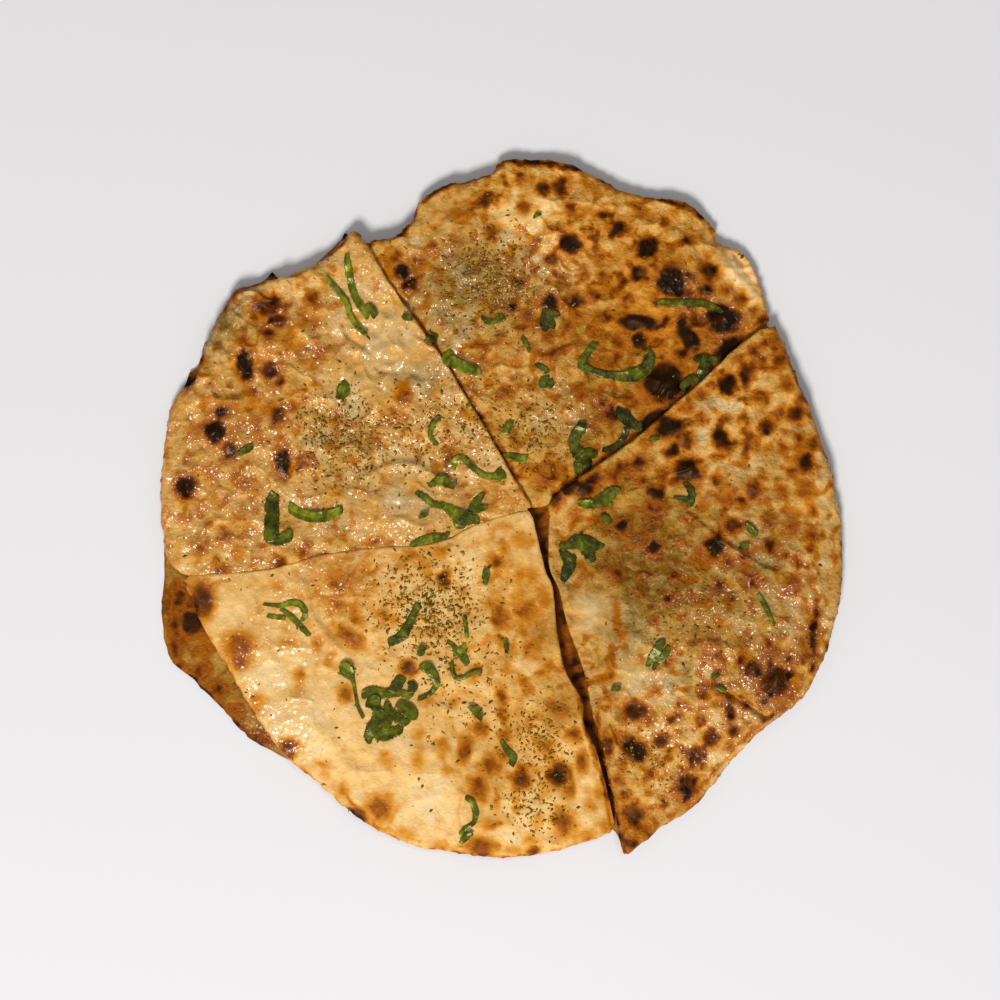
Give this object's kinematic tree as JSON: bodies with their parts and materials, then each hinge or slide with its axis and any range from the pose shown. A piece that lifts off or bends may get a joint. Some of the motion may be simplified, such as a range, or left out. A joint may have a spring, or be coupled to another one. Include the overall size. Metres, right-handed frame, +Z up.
{
  "type": "flatbread",
  "caption": "Round filled flatbread cut into wedges on its own lower leaf of dough, browned in spots and strewn with chopped coriander and dried herb.",
  "frame": {"origin": "middle of the flat underside that the bread rests on", "axes": "+Z up; +Y towards the wedge that lies at the top of the picture; +X to the picture's right"},
  "size_m": [0.246, 0.2522, 0.0106],
  "materials": {
    "crust": "griddled wheat dough, cream to deep brown, spotted with scorch marks and brushed with fat",
    "crust_under": "griddled wheat dough, darker at its rim",
    "coriander": "fresh chopped coriander, damp"
  },
  "bodies": {
    "root": {"lower_leaf": "crust_under", "wedge_top": "crust", "wedge_left": "crust", "wedge_bottom": "crust", "wedge_right": "crust", "stem_beside": "coriander", "shred_arch": "coriander", "shred_thin": "coriander", "sprig_top": "coriander", "shred_cut_left": "coriander", "shred_cut_top": "coriander", "shred_smile": "coriander", "shred_flat": "coriander", "shred_u": "coriander", "shred_cross": "coriander", "stem_pale": "coriander", "shred_chain": "coriander", "stem_fine": "coriander", "stem_curl": "coriander", "sprig_bottom": "coriander", "stem_loop": "coriander", "shred_low": "coriander", "shred_rim_low": "coriander", "stem_long": "coriander", "shred_hook": "coriander", "leaf_left": "coriander", "sprig_hub": "coriander", "leaf_top": "coriander", "leaf_top_low": "coriander", "leaf_rim": "coriander", "leaf_vee": "coriander", "leaf_dark": "coriander", "leaf_bright": "coriander", "leaf_bunch": "coriander", "leaf_right": "coriander", "leaf_frilly": "coriander", "leaf_twig": "coriander", "leaf_sprig": "coriander", "leaf_large": "coriander"}
  },
  "joints": []
}
